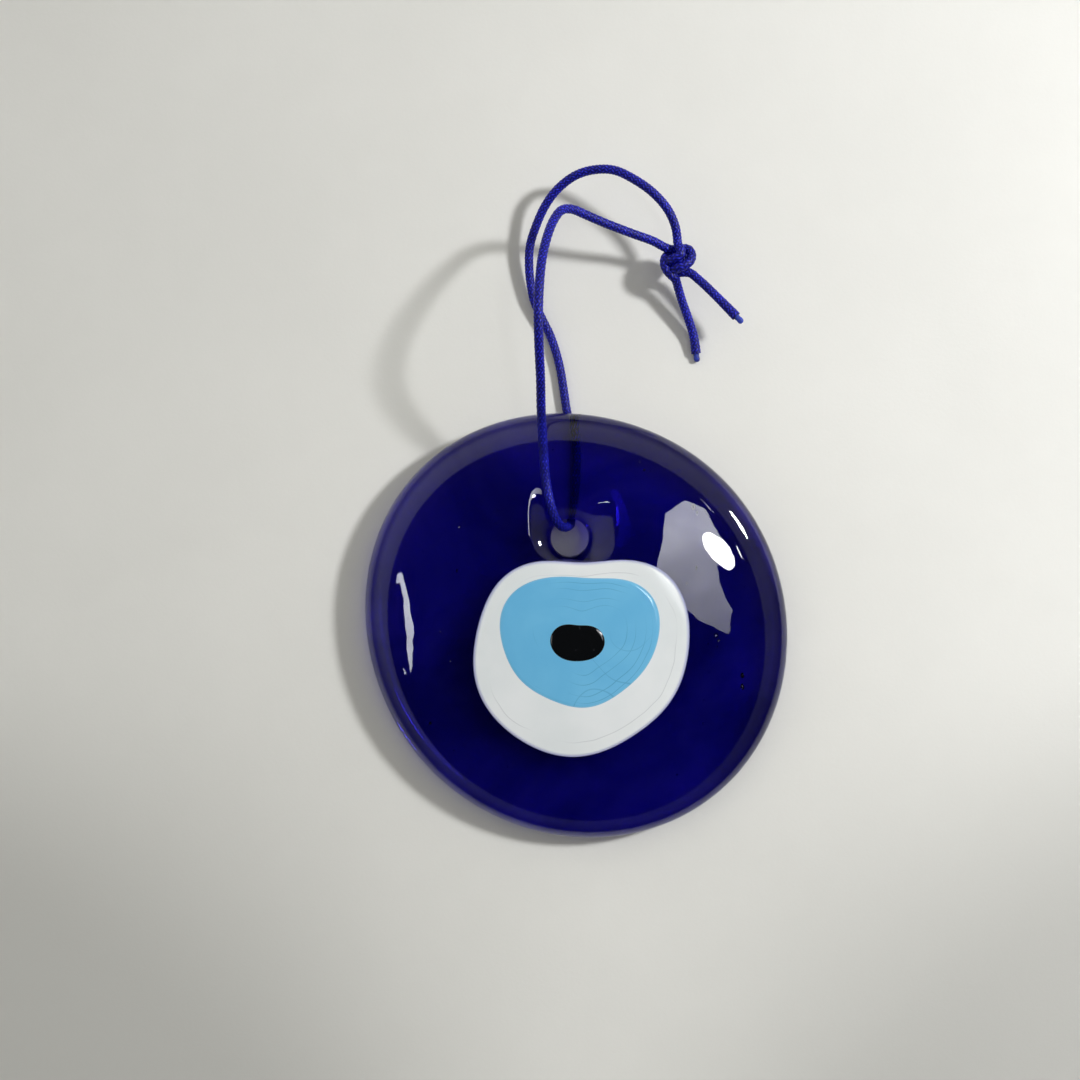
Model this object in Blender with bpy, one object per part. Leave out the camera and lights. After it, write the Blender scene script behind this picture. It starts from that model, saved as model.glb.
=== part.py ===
"""Evil eye ornament: a poured cobalt glass disc with a white, light blue and black glass eye,
threaded on a knotted braided cord. It lies face up on a table, on the cord's rear strand.

Metres, +Z up. The origin is on the table under the middle of the glass disc. +Y points from the
eye to the hanging hole, and the cord lies beyond the disc's upper edge.
"""

import math

import bmesh
import bpy
from mathutils import Matrix, Vector

MM = 0.001

# Glass disc. The outline is a circle with a few low waves: (waves per turn, share, peak in degrees).
DISC_RADIUS = 40.4 * MM
DISC_WAVES = ((2, 0.0333, 132.0), (3, 0.0035, 28.5), (4, 0.0048, 44.0))
RIM_MID = 3.0 * MM  # height of the widest line above the flat back
RIM_TOP = 7.6 * MM  # height where the rounded shoulder ends
CROWN = 0.7 * MM  # rise of the face from the shoulder to the middle
SHOULDER_WIDTH = 6.0 * MM
FOOT_ROUND = 2.6 * MM  # width of the rounding between the back and the widest line

# Hanging hole: a round bore at the low end of a wider dimple, which the piercing rod left.
HOLE_X = -1.3 * MM
HOLE_Y = 16.8 * MM
HOLE_RADIUS = 3.85 * MM
HOLE_BACK_ROUND = 1.8 * MM
DIMPLE_X = 0.0 * MM
DIMPLE_Y = 21.9 * MM
DIMPLE_RADIUS = HOLE_RADIUS + 6.05 * MM
DIMPLE_DEPTH = 3.4 * MM

# Eye layers, each poured into the one before: x of the centre, mean radius, outline waves, depth
# of the floor below the crown, and how far the face stands proud of the disc's face.
WHITE = {
    "x": 0.68 * MM,
    "radius": 19.66 * MM,
    "waves": ((2, 0.06, 19.0), (3, 0.0432, 26.6), (4, 0.0263, 40.9), (5, 0.02, -21.4)),
    "depth": 3.4 * MM,
    "proud": 0.08 * MM,
}
IRIS = {
    "x": 0.45 * MM,
    "radius": 13.71 * MM,
    "waves": ((2, 0.1, 1.7), (3, 0.0662, 29.4), (4, 0.0136, 35.4), (6, 0.01, -24.2)),
    "depth": 2.4 * MM,
    "proud": 0.16 * MM,
}
PUPIL = {
    "x": 0.02 * MM,
    "radius": 4.35 * MM,
    "waves": ((2, 0.195, -2.2), (3, 0.031, 21.9)),
    "depth": 1.4 * MM,
    "proud": 0.24 * MM,
}
WHITE_BRIDGE = 0.20 * MM  # from the hole's lowest point down to the white layer's highest
WHITE_BAND = 3.02 * MM  # from the white layer's highest point down to the iris's
PUPIL_DROP = 0.87 * MM  # from the iris's centre down to the pupil's
LAYER_EDGE = 0.3 * MM  # straight edge of a layer below its face
LAYER_ROUND = 1.3 * MM  # rounding from that edge to the layer's floor
FUSE_GAP = 0.25 * MM  # clearance between a layer and its pocket
POCKET_RISE = 1.5 * MM  # how far a pocket's cutter passes the face

# Cord: one length of round braid, knotted into a loop.
CORD_DIAMETER = 1.65 * MM
CORD_RADIUS = CORD_DIAMETER / 2
TAIL_FLARE = 1.12  # the braid opens a little towards each cut end
CORD_GAP = 0.3 * MM  # between two cord pieces that meet end to end
SEAT_CLEARANCE = 0.15 * MM  # between the cord and the glass that lies on it
CORD_STEP = 2.4 * CORD_DIAMETER
CORD_TURN = math.radians(20)
CORE_RADIUS = 0.6 * MM
CORE_LENGTH = 1.4 * MM
CORE_PROFILE = ((0.0, 0.92), (0.45, 1.0), (0.8, 0.86), (1.0, 0.45))  # (share of length, of radius)

# The loop's route in millimetres: x, y and the height of the cord's underside above the table,
# from the knot, over the front of the glass, down the hole, and back under the glass to the knot.
LOOP_ROUTE = (
    (16.2, 71.7, 6.2),
    (14.4, 72.5, 6.9),
    (10.6, 73.5, 8.4),
    (5.0, 75.1, 10.5),
    (1.4, 76.2, 12.3),
    (-1.1, 76.8, 13.9),
    (-2.9, 76.3, 15.4),
    (-4.3, 74.2, 17.4),
    (-5.5, 70.8, 20.0),
    (-6.5, 66.2, 22.7),
    (-7.0, 61.1, 24.8),
    (-7.2, 56.0, 25.4),
    (-7.1, 51.1, 24.2),
    (-6.8, 44.9, 20.8),
    (-6.7, 40.3, 17.5),
    (-6.5, 36.1, 14.6),
    (-6.2, 31.9, 12.1),
    (-5.8, 27.5, 10.5),
    (-4.9, 23.0, 9.8),
    (-3.9, 20.2, 8.4),
    (-2.6, 18.8, 6.1),
    (-1.2, 19.2, 3.3),
    (-0.9, 20.1, 1.1),
    (-0.7, 21.5, 0.15),
    (-0.5, 23.3, 0.0),
    (-0.2, 25.8, 0.0),
    (0.0, 29.6, 0.0),
    (0.0, 34.0, 0.0),
    (-0.7, 38.0, 0.0),
    (-1.7, 41.2, 0.05),
    (-2.2, 44.4, 0.05),
    (-3.2, 50.3, 0.1),
    (-4.8, 55.5, 0.2),
    (-6.5, 59.0, 0.45),
    (-8.0, 62.3, 0.8),
    (-8.7, 65.6, 1.2),
    (-9.0, 69.2, 1.7),
    (-8.8, 72.7, 2.4),
    (-7.7, 76.1, 3.2),
    (-5.9, 79.8, 4.4),
    (-3.5, 82.7, 5.7),
    (-0.1, 84.9, 7.0),
    (3.3, 85.6, 8.1),
    (6.9, 85.3, 8.9),
    (10.4, 83.6, 9.3),
    (14.0, 81.1, 9.3),
    (16.9, 78.0, 8.8),
    (18.4, 75.0, 8.0),
    (18.85, 72.8, 7.35),
)
SPLIT_POINT = (-2.6, 18.8, 6.1)  # inside the bore, where the front strand becomes the rear one
LOWER_TAIL_ROUTE = (
    (19.15, 64.8, 4.3),
    (20.1, 62.2, 3.1),
    (21.5, 58.8, 1.8),
    (22.7, 55.4, 0.7),
    (23.2, 52.4, 0.12),
)
RIGHT_TAIL_ROUTE = (
    (21.6, 66.95, 4.8),
    (22.8, 65.95, 4.95),
    (24.4, 64.45, 5.2),
    (27.2, 61.55, 5.7),
    (30.05, 58.5, 6.2),
)

# Knot: the turns of cord that show on its outside, as offsets in millimetres from its middle,
# over a core where the turns inside it press on each other.
KNOT_CENTRE = Vector((19.1, 68.9, 6.4)) * MM
KNOT_CORE = Vector((2.3, 2.3, 1.7)) * MM
KNOT_TURNS = (
    ((-0.2, 3.3, 1.6), (0.2, 1.9, 1.9), (0.3, 0.7, 1.9), (-0.7, 0.0, 1.7), (-1.5, -0.3, 0.7)),
    ((-2.6, 2.6, 0.5), (-1.3, 2.3, 0.1), (0.0, 2.5, -0.2), (1.2, 2.8, 0.2), (2.3, 2.3, 0.6),
     (2.8, 1.2, 0.8), (2.6, 0.0, 1.1), (1.7, -0.9, 1.5), (0.3, -1.2, 1.7), (-0.8, -1.5, 0.9)),
    ((-1.6, 1.6, -0.2), (-2.6, 0.8, 0.0), (-2.75, -0.6, 0.2), (-2.1, -1.8, 0.3), (-1.0, -2.5, 0.2),
     (-0.1, -3.5, -1.0)),
    ((0.3, -0.2, -0.5), (1.2, -0.9, -0.8), (2.2, -1.7, -0.8)),
)

DISC_SIDES = 84
FACE_RINGS = 5
LAYER_SIDES = 60
LAYER_FACE_RINGS = (0.86, 0.6, 0.3)  # as shares of the layer's radius
CORD_SIDE_RESOLUTION = 2
KNOT_TURN_SIDES = 10
CORE_SIDES = 12


def clear_scene():
    for thing in list(bpy.data.objects):
        bpy.data.objects.remove(thing, do_unlink=True)


def material(name, colour, roughness, transmission=0.0):
    made = bpy.data.materials.new(name)
    made.use_nodes = True
    shader = made.node_tree.nodes["Principled BSDF"]
    shader.inputs["Base Color"].default_value = (*colour, 1.0)
    shader.inputs["Roughness"].default_value = roughness
    shader.inputs["Transmission Weight"].default_value = transmission
    made.diffuse_color = (*colour, 1.0)
    return made


def add_object(name, data, parent, finish=None):
    made = bpy.data.objects.new(name, data)
    bpy.context.scene.collection.objects.link(made)
    made.parent = parent
    if finish:
        data.materials.append(finish)
    return made


def add_empty(name, parent=None):
    empty = bpy.data.objects.new(name, None)
    empty.empty_display_size = 0.01
    bpy.context.scene.collection.objects.link(empty)
    empty.parent = parent
    return empty


def waved_radius(angle, mean, waves):
    """Outline radius at this angle: the mean circle with its low waves."""
    bumps = sum(share * math.cos(turns * (angle - math.radians(peak))) for turns, share, peak in waves)
    return mean * (1 + bumps)


def disc_edge(angle, inset=0.0):
    """Point of the disc's outline at this angle from its middle, moved inwards along the normal."""
    small = 0.001
    here, after = (
        Vector((math.cos(a), math.sin(a))) * waved_radius(a, DISC_RADIUS, DISC_WAVES)
        for a in (angle, angle + small)
    )
    along = (after - here).normalized()
    return here - Vector((along.y, -along.x)) * inset


def edge_angle_from_hole(bearing):
    """Angle about the disc's middle of the outline point at this bearing from the hole."""
    step = Vector((math.cos(bearing), math.sin(bearing)))
    near, far = 0.0, 3 * DISC_RADIUS
    for _ in range(40):
        middle = (near + far) / 2
        point = Vector((HOLE_X, HOLE_Y)) + step * middle
        outside = point.length > waved_radius(math.atan2(point.y, point.x), DISC_RADIUS, DISC_WAVES)
        near, far = (near, middle) if outside else (middle, far)
    return math.atan2(point.y, point.x)


def dimple_circle(share):
    """Centre and radius of the dimple's section, from the bore (share 0) to its lip (share 1)."""
    bore, lip = Vector((HOLE_X, HOLE_Y)), Vector((DIMPLE_X, DIMPLE_Y))
    return bore.lerp(lip, share), HOLE_RADIUS + (DIMPLE_RADIUS - HOLE_RADIUS) * share


def dimple_drop(point):
    """How far the face drops at this point because of the dimple."""
    low, high = 0.0, 1.0
    if (point - dimple_circle(1.0)[0]).length >= DIMPLE_RADIUS:
        return 0.0
    for _ in range(30):
        share = (low + high) / 2
        centre, radius = dimple_circle(share)
        low, high = (share, high) if (point - centre).length > radius else (low, share)
    return DIMPLE_DEPTH * (1 - math.sqrt(max(0.0, 1 - (1 - share) ** 2)))


def dome_height(point):
    """Height of the disc's face above its flat back, as if it had no dimple."""
    angle = math.atan2(point.y, point.x)
    shoulder = waved_radius(angle, DISC_RADIUS, DISC_WAVES) - SHOULDER_WIDTH
    return RIM_TOP + CROWN * (1 - min(1.0, point.length / shoulder) ** 2)


def face_height(point):
    """Height of the disc's face above its flat back, before any eye layer."""
    return dome_height(point) - dimple_drop(point)


def mesh_from_rings(name, rings, closed_ring=False):
    """Joins equal rings of points into one closed skin. The ends are capped, or joined if it is a ring."""
    model = bmesh.new()
    loops = [[model.verts.new(point) for point in ring] for ring in rings]
    pairs = list(zip(loops, loops[1:]))
    if closed_ring:
        pairs.append((loops[-1], loops[0]))
    for lower, upper in pairs:
        for i in range(len(lower)):
            j = (i + 1) % len(lower)
            model.faces.new((lower[i], lower[j], upper[j], upper[i]))
    if not closed_ring:
        for loop in (loops[0], loops[-1]):
            middle = model.verts.new(sum((v.co for v in loop), Vector()) / len(loop))
            for i in range(len(loop)):
                model.faces.new((loop[i], loop[(i + 1) % len(loop)], middle))
    bmesh.ops.recalc_face_normals(model, faces=model.faces)
    mesh = bpy.data.meshes.new(name)
    model.to_mesh(mesh)
    model.free()
    mesh.shade_smooth()
    mesh.set_sharp_from_angle(angle=math.radians(35))
    return mesh


def quarter(count):
    """Cosine and sine at equal steps of a quarter turn, both ends included."""
    return [
        (math.cos(math.pi / 2 * i / count), math.sin(math.pi / 2 * i / count)) for i in range(count + 1)
    ]


def disc_mesh(name):
    """The disc as rings of points about the hole: up the bore, out over the face, round the rim,
    and back under the flat back."""
    bearings = [2 * math.pi * i / DISC_SIDES for i in range(DISC_SIDES)]
    angles = [edge_angle_from_hole(b) for b in bearings]
    headings = [Vector((math.cos(b), math.sin(b))) for b in bearings]
    hole = Vector((HOLE_X, HOLE_Y))
    rings = []
    for across, up in quarter(4):
        radius = HOLE_RADIUS + HOLE_BACK_ROUND * (1 - up)
        height = HOLE_BACK_ROUND * (1 - across)
        rings.append([(*(hole + h * radius), height) for h in headings])
    for across, up in quarter(8):
        centre, radius = dimple_circle(1 - across)
        ring = [centre + h * radius for h in headings]
        rings.append([(*p, dome_height(p) - DIMPLE_DEPTH * (1 - up)) for p in ring])
    centre, radius = dimple_circle(1.0)
    for step in range(1, FACE_RINGS + 1):
        share = step / FACE_RINGS
        ring = [
            (centre + h * radius).lerp(disc_edge(a, SHOULDER_WIDTH), share)
            for h, a in zip(headings, angles)
        ]
        rings.append([(*p, face_height(p)) for p in ring])
    for across, up in quarter(8)[1:]:
        ring = [disc_edge(a, SHOULDER_WIDTH * (1 - up)) for a in angles]
        rings.append([(*p, RIM_MID + (RIM_TOP - RIM_MID) * across) for p in ring])
    for across, up in quarter(5)[1:]:
        ring = [disc_edge(a, FOOT_ROUND * (1 - across)) for a in angles]
        rings.append([(*p, RIM_MID * (1 - up)) for p in ring])
    return mesh_from_rings(name, rings, closed_ring=True)


def reach_up(layer):
    """How far a layer's outline reaches towards +Y from its centre."""
    turns = [math.radians(degree) for degree in range(180)]
    return max(waved_radius(a, layer["radius"], layer["waves"]) * math.sin(a) for a in turns)


def placed_layers():
    """The layers with their centres: the white one's top is just below the hole, the iris's is a
    band of white lower, and the pupil lies by the iris's centre."""
    white_top = HOLE_Y - HOLE_RADIUS - WHITE_BRIDGE
    iris_y = white_top - WHITE_BAND - reach_up(IRIS)
    heights = (white_top - reach_up(WHITE), iris_y, iris_y - PUPIL_DROP)
    return [{**layer, "centre": Vector((layer["x"], y))} for layer, y in zip((WHITE, IRIS, PUPIL), heights)]


def layer_mesh(name, layer, grow=0.0, rise=None):
    """One eye layer, or with grow and rise the cutter of the pocket that it lies in."""
    turns = [2 * math.pi * i / LAYER_SIDES for i in range(LAYER_SIDES)]

    def ring(inset, share=1.0):
        radii = [(waved_radius(a, layer["radius"], layer["waves"]) + grow - inset) * share for a in turns]
        return [layer["centre"] + Vector((math.cos(a), math.sin(a))) * r for a, r in zip(turns, radii)]

    floor = RIM_TOP + CROWN - layer["depth"] - grow
    rings = [[(*p, floor) for p in ring(LAYER_ROUND, 0.5)]]
    for across, up in quarter(4):
        points = ring(LAYER_ROUND * (1 - up))
        tops = [face_height(p) - LAYER_EDGE - grow for p in points]
        rings.append([(*p, floor + (top - floor) * (1 - across)) for p, top in zip(points, tops)])
    if rise is None:
        proud = layer["proud"]
        rings.append([(*p, face_height(p) + proud - LAYER_EDGE / 2) for p in ring(0.0)])
        rings.append([(*p, face_height(p) + proud) for p in ring(LAYER_EDGE / 2)])
        for share in LAYER_FACE_RINGS:
            rings.append([(*p, face_height(p) + proud) for p in ring(LAYER_EDGE / 2, share)])
    else:
        rings.append([(*p, RIM_TOP + CROWN + rise) for p in ring(0.0)])
    return mesh_from_rings(name, rings)


def pocket(target, layer, label):
    """Cuts the pocket for a layer into the piece below it."""
    cutter = add_object(f"pocket_{label}", layer_mesh(f"pocket_{label}", layer, FUSE_GAP, POCKET_RISE), None)
    cutter.parent = target.parent
    cutter.hide_render = True
    cutter.display_type = "WIRE"
    cut = target.modifiers.new(f"pocket_{label}", "BOOLEAN")
    cut.operation = "DIFFERENCE"
    cut.solver = "EXACT"
    cut.object = cutter


def smooth_curve(points, steps=12):
    """Dense points of a smooth curve through the given ones (centripetal Catmull-Rom)."""
    ends = [points[0] * 2 - points[1], *points, points[-1] * 2 - points[-2]]
    found = []
    for p0, p1, p2, p3 in zip(ends, ends[1:], ends[2:], ends[3:]):
        t1 = (p1 - p0).length ** 0.5
        t2 = t1 + (p2 - p1).length ** 0.5
        t3 = t2 + (p3 - p2).length ** 0.5
        for i in range(steps):
            t = t1 + (t2 - t1) * i / steps
            a1 = p0.lerp(p1, t / t1)
            a2 = p1.lerp(p2, (t - t1) / (t2 - t1))
            a3 = p2.lerp(p3, (t - t2) / (t3 - t2))
            b1 = a1.lerp(a2, t / t2)
            b2 = a2.lerp(a3, (t - t1) / (t3 - t1))
            found.append(b1.lerp(b2, (t - t1) / (t2 - t1)))
    return [*found, points[-1].copy()]


def thinned(dense):
    """Keeps a point where the curve has run CORD_STEP or turned CORD_TURN since the last one."""
    kept, run, turned = [dense[0]], 0.0, 0.0
    for before, here, after in zip(dense, dense[1:], dense[2:]):
        run += (here - before).length
        turned += (here - before).angle(after - here, 0.0)
        if run >= CORD_STEP or turned >= CORD_TURN:
            kept.append(here)
            run, turned = 0.0, 0.0
    if (dense[-1] - kept[-1]).length < CORD_RADIUS:
        kept.pop()
    return [*kept, dense[-1]]


def route_points(route):
    """A route's points in metres, on the cord's centreline."""
    return [Vector((x, y, z)) * MM + Vector((0, 0, CORD_RADIUS)) for x, y, z in route]


def tube_curve(name, points, radius, end_scale=1.0):
    """A round tube along these points. Its last third widens to end_scale."""
    curve = bpy.data.curves.new(name, "CURVE")
    curve.dimensions = "3D"
    curve.bevel_depth = radius
    curve.bevel_resolution = CORD_SIDE_RESOLUTION
    curve.use_fill_caps = True
    line = curve.splines.new("POLY")
    line.points.add(len(points) - 1)
    for i, point in enumerate(points):
        line.points[i].co = (*point, 1.0)
        share = max(0.0, 3 * i / (len(points) - 1) - 2)
        line.points[i].radius = 1 + (end_scale - 1) * share
    line.use_smooth = True
    return curve


def split_loop():
    """The loop's smooth line, cut in the bore into the front strand and the rear one."""
    dense = smooth_curve(route_points(LOOP_ROUTE))
    middle = route_points((SPLIT_POINT,))[0]
    nearest = dense.index(min(dense, key=lambda p: (p - middle).length))
    front, rear = dense[:nearest], dense[nearest:]
    while (front[-1] - rear[0]).length < CORD_GAP + CORD_RADIUS / 4:
        rear.pop(0)
    return thinned(front), thinned(rear)


def tube_mesh(name, points):
    """A closed round tube of the cord's thickness as a mesh, for joining into the knot."""
    turns = [2 * math.pi * k / KNOT_TURN_SIDES for k in range(KNOT_TURN_SIDES)]
    rings = []
    for i, point in enumerate(points):
        along = (points[min(i + 1, len(points) - 1)] - points[max(i - 1, 0)]).normalized()
        side = along.cross(Vector((0, 0, 1))).normalized()
        over = side.cross(along)
        rings.append([point + (side * math.cos(t) + over * math.sin(t)) * CORD_RADIUS for t in turns])
    return mesh_from_rings(name, rings)


def knot_object(parent, finish):
    """The knot as one solid: a core joined with the turns of cord that show round it."""
    model = bmesh.new()
    bmesh.ops.create_uvsphere(model, u_segments=20, v_segments=12, radius=1.0)
    bmesh.ops.scale(model, vec=KNOT_CORE, verts=model.verts)
    mesh = bpy.data.meshes.new("cord_knot")
    model.to_mesh(mesh)
    model.free()
    knot = add_object("cord_knot", mesh, parent, finish)
    for i, turn in enumerate(KNOT_TURNS):
        line = smooth_curve([Vector(p) * MM for p in turn], steps=3)
        piece = add_object(f"knot_turn_{i}", tube_mesh(f"knot_turn_{i}", line), knot)
        piece.hide_render = True
        piece.display_type = "WIRE"
        join = knot.modifiers.new(f"turn_{i}", "BOOLEAN")
        join.operation = "UNION"
        join.solver = "EXACT"
        join.use_self = True
        join.object = piece
    knot.location = KNOT_CENTRE - parent.location
    return knot


def core_end(name, tail, parent, finish):
    """The cord's melted core, a short round stub past the end of a tail."""
    ahead = (tail[-1] - tail[-2]).normalized()
    first = tail[-1] + ahead * CORD_GAP
    side = ahead.cross(Vector((0, 0, 1))).normalized()
    over = side.cross(ahead)
    turns = [2 * math.pi * k / CORE_SIDES for k in range(CORE_SIDES)]
    rings = []
    for share, width in CORE_PROFILE:
        point, radius = first + ahead * CORE_LENGTH * share, CORE_RADIUS * width
        rings.append([point + (side * math.cos(t) + over * math.sin(t)) * radius for t in turns])
    made = add_object(name, mesh_from_rings(name, rings), parent, finish)
    made.matrix_parent_inverse = Matrix.Translation(-parent.location)
    return made


def build_glass(seat):
    """The four glass pieces, all lying in the disc's own level frame under the tilted seat."""
    cobalt = material("cobalt_glass", (0.01, 0.01, 0.16), 0.05, 0.9)
    white = material("white_glass", (0.74, 0.79, 0.82), 0.08)
    blue = material("light_blue_glass", (0.14, 0.44, 0.66), 0.08)
    black = material("black_glass", (0.004, 0.004, 0.005), 0.05)
    outer, middle, inner = placed_layers()
    body = add_object("cobalt_glass_body", disc_mesh("cobalt_glass_body"), seat, cobalt)
    ring = add_object("white_glass_layer", layer_mesh("white_glass_layer", outer), seat, white)
    iris = add_object("light_blue_glass_iris", layer_mesh("light_blue_glass_iris", middle), seat, blue)
    add_object("black_glass_pupil", layer_mesh("black_glass_pupil", inner), seat, black)
    pocket(body, outer, "white")
    pocket(ring, middle, "iris")
    pocket(iris, inner, "pupil")
    return body


def place_seat(seat, body):
    """Tilts the disc about its far foot until the back clears the cord where it leaves the hole,
    then centres its box over the origin."""
    foot = disc_edge(-math.pi / 2, FOOT_ROUND).y
    propped = HOLE_Y + HOLE_RADIUS + HOLE_BACK_ROUND
    tilt = math.asin((CORD_DIAMETER + SEAT_CLEARANCE) / (propped - foot))
    to_foot = Matrix.Translation((0, foot, 0))
    turn = to_foot @ Matrix.Rotation(tilt, 4, "X") @ to_foot.inverted()
    points = [turn @ v.co for v in body.data.vertices]
    middle = [(min(p[k] for p in points) + max(p[k] for p in points)) / 2 for k in (0, 1)]
    lowest = min(p.z for p in points)
    seat.matrix_world = Matrix.Translation((-middle[0], -middle[1], -lowest)) @ turn


def build_cord(swing):
    """The loop's two strands, the knot, the two tails and their melted ends."""
    braid = material("blue_braid", (0.02, 0.02, 0.42), 0.55)
    core = material("melted_core", (0.10, 0.12, 0.55), 0.35)
    front, rear = split_loop()
    lower = smooth_curve(route_points(LOWER_TAIL_ROUTE), steps=2)
    right = smooth_curve(route_points(RIGHT_TAIL_ROUTE), steps=2)
    knot_object(swing, braid)
    for name, points, flare in (
        ("cord_front_strand", front, 1.0),
        ("cord_rear_strand", rear, 1.0),
        ("cord_lower_tail", lower, TAIL_FLARE),
        ("cord_right_tail", right, TAIL_FLARE),
    ):
        tube = add_object(name, tube_curve(name, points, CORD_RADIUS, flare), swing, braid)
        tube.matrix_parent_inverse = Matrix.Translation(-swing.location)
    core_end("lower_tail_core", lower, swing, core)
    core_end("right_tail_core", right, swing, core)


clear_scene()
seat = add_empty("glass_seat")
glass_body = build_glass(seat)
place_seat(seat, glass_body)
cord_swing = add_empty("cord_swing")
cord_swing.location = (HOLE_X, HOLE_Y, 0)
build_cord(cord_swing)
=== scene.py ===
"""The looks of the evil eye ornament: fire-polished glass, a braided cord with its real knot, and
the plain table, light and camera that show it from straight above."""

import math

import bpy
import numpy as np
from mathutils import Matrix, Vector, noise


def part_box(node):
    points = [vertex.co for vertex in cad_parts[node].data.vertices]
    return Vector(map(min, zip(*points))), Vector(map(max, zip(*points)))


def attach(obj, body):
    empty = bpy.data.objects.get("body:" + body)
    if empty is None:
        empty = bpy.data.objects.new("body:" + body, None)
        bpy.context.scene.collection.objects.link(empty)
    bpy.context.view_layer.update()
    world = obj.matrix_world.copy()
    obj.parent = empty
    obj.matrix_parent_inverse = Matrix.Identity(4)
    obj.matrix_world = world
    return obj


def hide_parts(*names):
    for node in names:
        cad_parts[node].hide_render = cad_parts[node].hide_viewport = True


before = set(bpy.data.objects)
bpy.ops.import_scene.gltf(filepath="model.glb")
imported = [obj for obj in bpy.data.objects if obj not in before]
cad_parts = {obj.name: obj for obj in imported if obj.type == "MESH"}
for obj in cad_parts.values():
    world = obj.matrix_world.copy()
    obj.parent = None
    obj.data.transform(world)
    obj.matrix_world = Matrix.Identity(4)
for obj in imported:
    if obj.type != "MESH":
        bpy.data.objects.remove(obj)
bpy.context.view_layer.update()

MM = 0.001

# Glass disc, as in the CAD model, apart from the bore, which is drawn a little narrower.
DISC_RADIUS = 40.4 * MM
DISC_WAVES = ((2, 0.0333, 132.0), (3, 0.0035, 28.5), (4, 0.0048, 44.0))
RIM_MID = 3.0 * MM
RIM_TOP = 7.6 * MM
CROWN = 0.7 * MM
SHOULDER_WIDTH = 6.0 * MM
FOOT_ROUND = 2.6 * MM
HOLE = Vector((-1.3, 16.8)) * MM
HOLE_RADIUS = 3.55 * MM
HOLE_BACK_ROUND = 1.8 * MM
DIMPLE = Vector((0.0, 21.9)) * MM
DIMPLE_RADIUS = 9.9 * MM
DIMPLE_DEPTH = 3.4 * MM
DIMPLE_SQUARE = 1.2  # how far the lip's outline goes from round (0) towards square
DIMPLE_CONE = 0.33  # share of the depth that a straight slope takes, from the lip to the bore
DIMPLE_LIP = 0.4  # share of that slope which rounds over into the face
LAYER_ROUND = 1.3 * MM
LAYER_EDGE = 0.1 * MM  # how far below the disc's face a layer's side ends
LAYER_SWELL = 0.9 * MM  # width over which a layer's face swells out of the disc's

# The three eye layers. Their faces stand from base, at the edge, to proud, over the disc's face.
LAYERS = {
    "white_glass_layer": {
        "centre": Vector((0.68, -4.76)) * MM,
        "radius": 19.66 * MM,
        "waves": ((2, 0.06, 19.0), (3, 0.0432, 26.6), (4, 0.0263, 40.9), (5, 0.02, -21.4)),
        "depth": 3.4 * MM,
        "base": -0.01 * MM,
        "proud": 0.06 * MM,
    },
    "light_blue_glass_iris": {
        "centre": Vector((0.45, -1.83)) * MM,
        "radius": 13.71 * MM,
        "waves": ((2, 0.1, 1.7), (3, 0.0662, 29.4), (4, 0.0136, 35.4), (6, 0.01, -24.2)),
        "depth": 2.4 * MM,
        "base": 0.045 * MM,
        "proud": 0.12 * MM,
    },
    "black_glass_pupil": {
        "centre": Vector((0.02, -2.7)) * MM,
        "radius": 4.35 * MM,
        "waves": ((2, 0.195, -2.2), (3, 0.031, 21.9)),
        "depth": 1.4 * MM,
        "base": 0.105 * MM,
        "proud": 0.18 * MM,
    },
}
POUR_WAVE = 0.035 * MM  # height of the slow unevenness that pouring left on the face
POUR_SPAN = 11.0 * MM
DISC_SIDES = 288
LAYER_SIDES = 200
LAYER_FACE_RINGS = 26
GLASS_IOR = 1.52
GLASS_TINT = (0.117, 0.01, 0.80, 1.0)  # of light inside the cobalt glass
GLASS_DENSITY = 360.0  # how strongly that glass takes in light, per metre

# Trapped air: how many bubbles, and x, y and radius of the few larger ones, in millimetres.
BUBBLE_COUNT = 46
BUBBLE_DEPTH = 0.03 * MM  # of a bubble's top below the face
BUBBLE_FREE_RADIUS = 22.5 * MM  # round the eye, where there are no small ones
BUBBLES = (
    (21.7, 22.6, 0.36),
    (22.4, 21.4, 0.28),
    (22.3, 11.2, 0.26),
    (31.0, -9.0, 0.4),
    (31.0, -11.1, 0.36),
    (26.0, -1.5, 0.42),
    (26.5, -2.4, 0.3),
    (-22.0, 18.8, 0.24),
    (-27.5, -18.0, 0.3),
    (12.5, 29.5, 0.22),
)

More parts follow.
